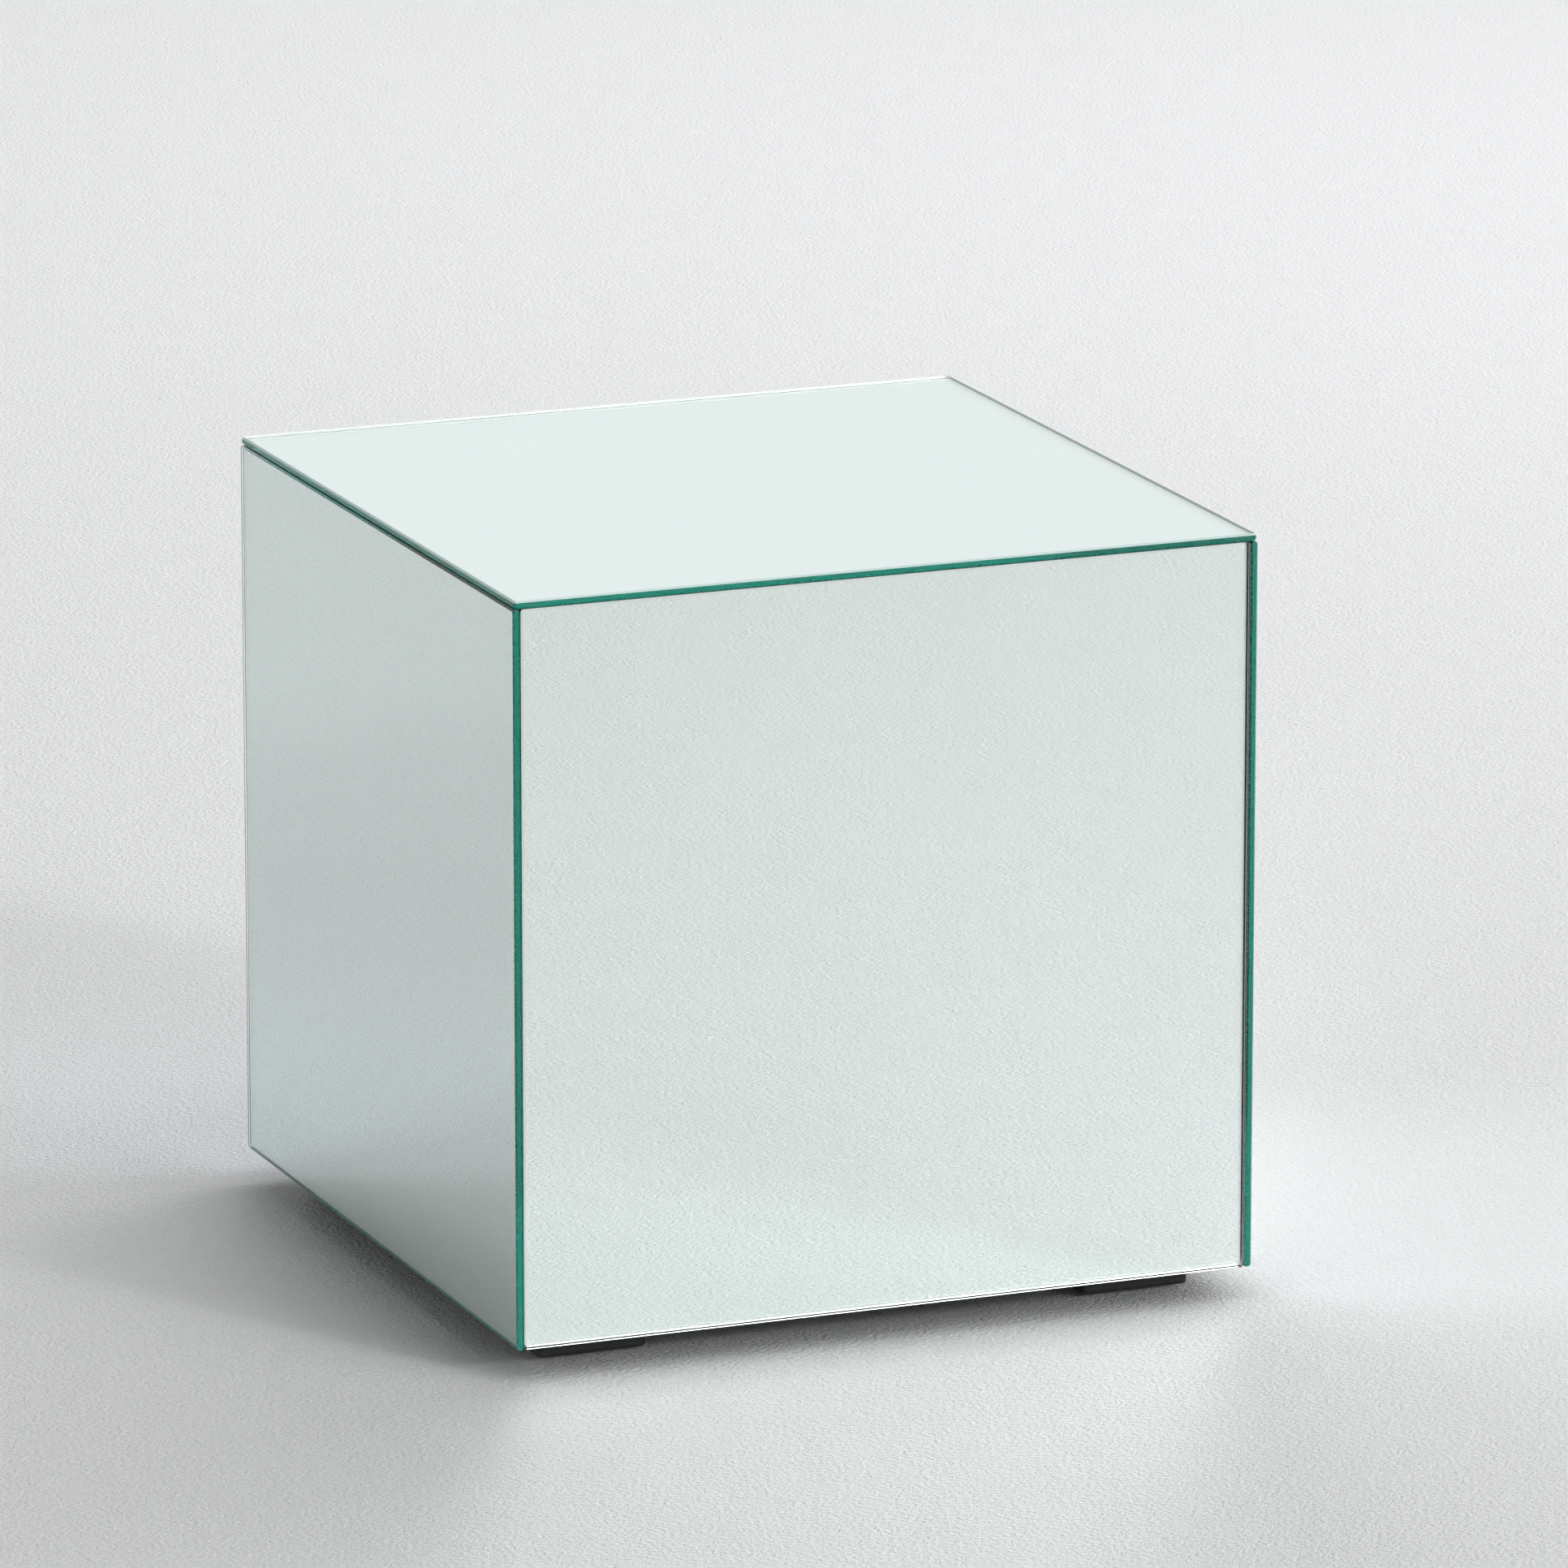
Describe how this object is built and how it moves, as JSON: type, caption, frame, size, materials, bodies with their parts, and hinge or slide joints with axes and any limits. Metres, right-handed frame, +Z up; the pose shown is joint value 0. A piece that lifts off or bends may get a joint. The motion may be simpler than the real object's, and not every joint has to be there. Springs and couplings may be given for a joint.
{
  "type": "mirrored cube side table",
  "caption": "Cube side table clad in silvered glass panels with polished green edges, over a fibreboard box on low black corner feet.",
  "frame": {"origin": "on the floor, under the middle of the table", "axes": "+Z up; -Y is the front, the face that stands between the side mirrors and looks towards the viewer; +X is the table's right as seen from the front"},
  "size_m": [0.4, 0.4, 0.4],
  "materials": {
    "silvered_glass": "4 mm silvered float glass, polished edges that show green",
    "fibreboard": "bare 12 mm medium density fibreboard",
    "black_board": "12 mm fibreboard, painted satin black",
    "pine": "planed softwood",
    "beech": "fluted beech dowel",
    "foam_tape": "double-sided acrylic foam tape",
    "foot_plastic": "black moulded plastic, soft sheen",
    "zinc_steel": "bright zinc-plated steel",
    "felt": "black pressed felt"
  },
  "bodies": {
    "root": {"back_mirror": "silvered_glass", "back_wall": "fibreboard", "base_board": "black_board", "base_screw_back_wall_left": "zinc_steel", "base_screw_back_wall_right": "zinc_steel", "base_screw_front_wall_left": "zinc_steel", "base_screw_front_wall_right": "zinc_steel", "base_screw_left_wall_back": "zinc_steel", "base_screw_left_wall_front": "zinc_steel", "base_screw_right_wall_back": "zinc_steel", "base_screw_right_wall_front": "zinc_steel", "corner_block_back_left": "pine", "corner_block_back_right": "pine", "corner_block_front_left": "pine", "corner_block_front_right": "pine", "dowel_back_wall_left": "beech", "dowel_back_wall_right": "beech", "dowel_front_wall_left": "beech", "dowel_front_wall_right": "beech", "dowel_left_wall_back": "beech", "dowel_left_wall_front": "beech", "dowel_right_wall_back": "beech", "dowel_right_wall_front": "beech", "felt_pad_back_left": "felt", "felt_pad_back_right": "felt", "felt_pad_front_left": "felt", "felt_pad_front_right": "felt", "foot_back_left": "foot_plastic", "foot_back_right": "foot_plastic", "foot_front_left": "foot_plastic", "foot_front_right": "foot_plastic", "foot_screw_back_left_inner": "zinc_steel", "foot_screw_back_left_outer": "zinc_steel", "foot_screw_back_right_inner": "zinc_steel", "foot_screw_back_right_outer": "zinc_steel", "foot_screw_front_left_inner": "zinc_steel", "foot_screw_front_left_outer": "zinc_steel", "foot_screw_front_right_inner": "zinc_steel", "foot_screw_front_right_outer": "zinc_steel", "front_mirror": "silvered_glass", "front_wall": "fibreboard", "left_mirror": "silvered_glass", "left_wall": "fibreboard", "right_mirror": "silvered_glass", "right_wall": "fibreboard", "tape_back_mirror_left": "foam_tape", "tape_back_mirror_right": "foam_tape", "tape_front_mirror_left": "foam_tape", "tape_front_mirror_right": "foam_tape", "tape_left_mirror_back": "foam_tape", "tape_left_mirror_front": "foam_tape", "tape_right_mirror_back": "foam_tape", "tape_right_mirror_front": "foam_tape", "tape_top_mirror_left": "foam_tape", "tape_top_mirror_right": "foam_tape", "top_board": "fibreboard", "top_mirror": "silvered_glass"}
  },
  "joints": []
}
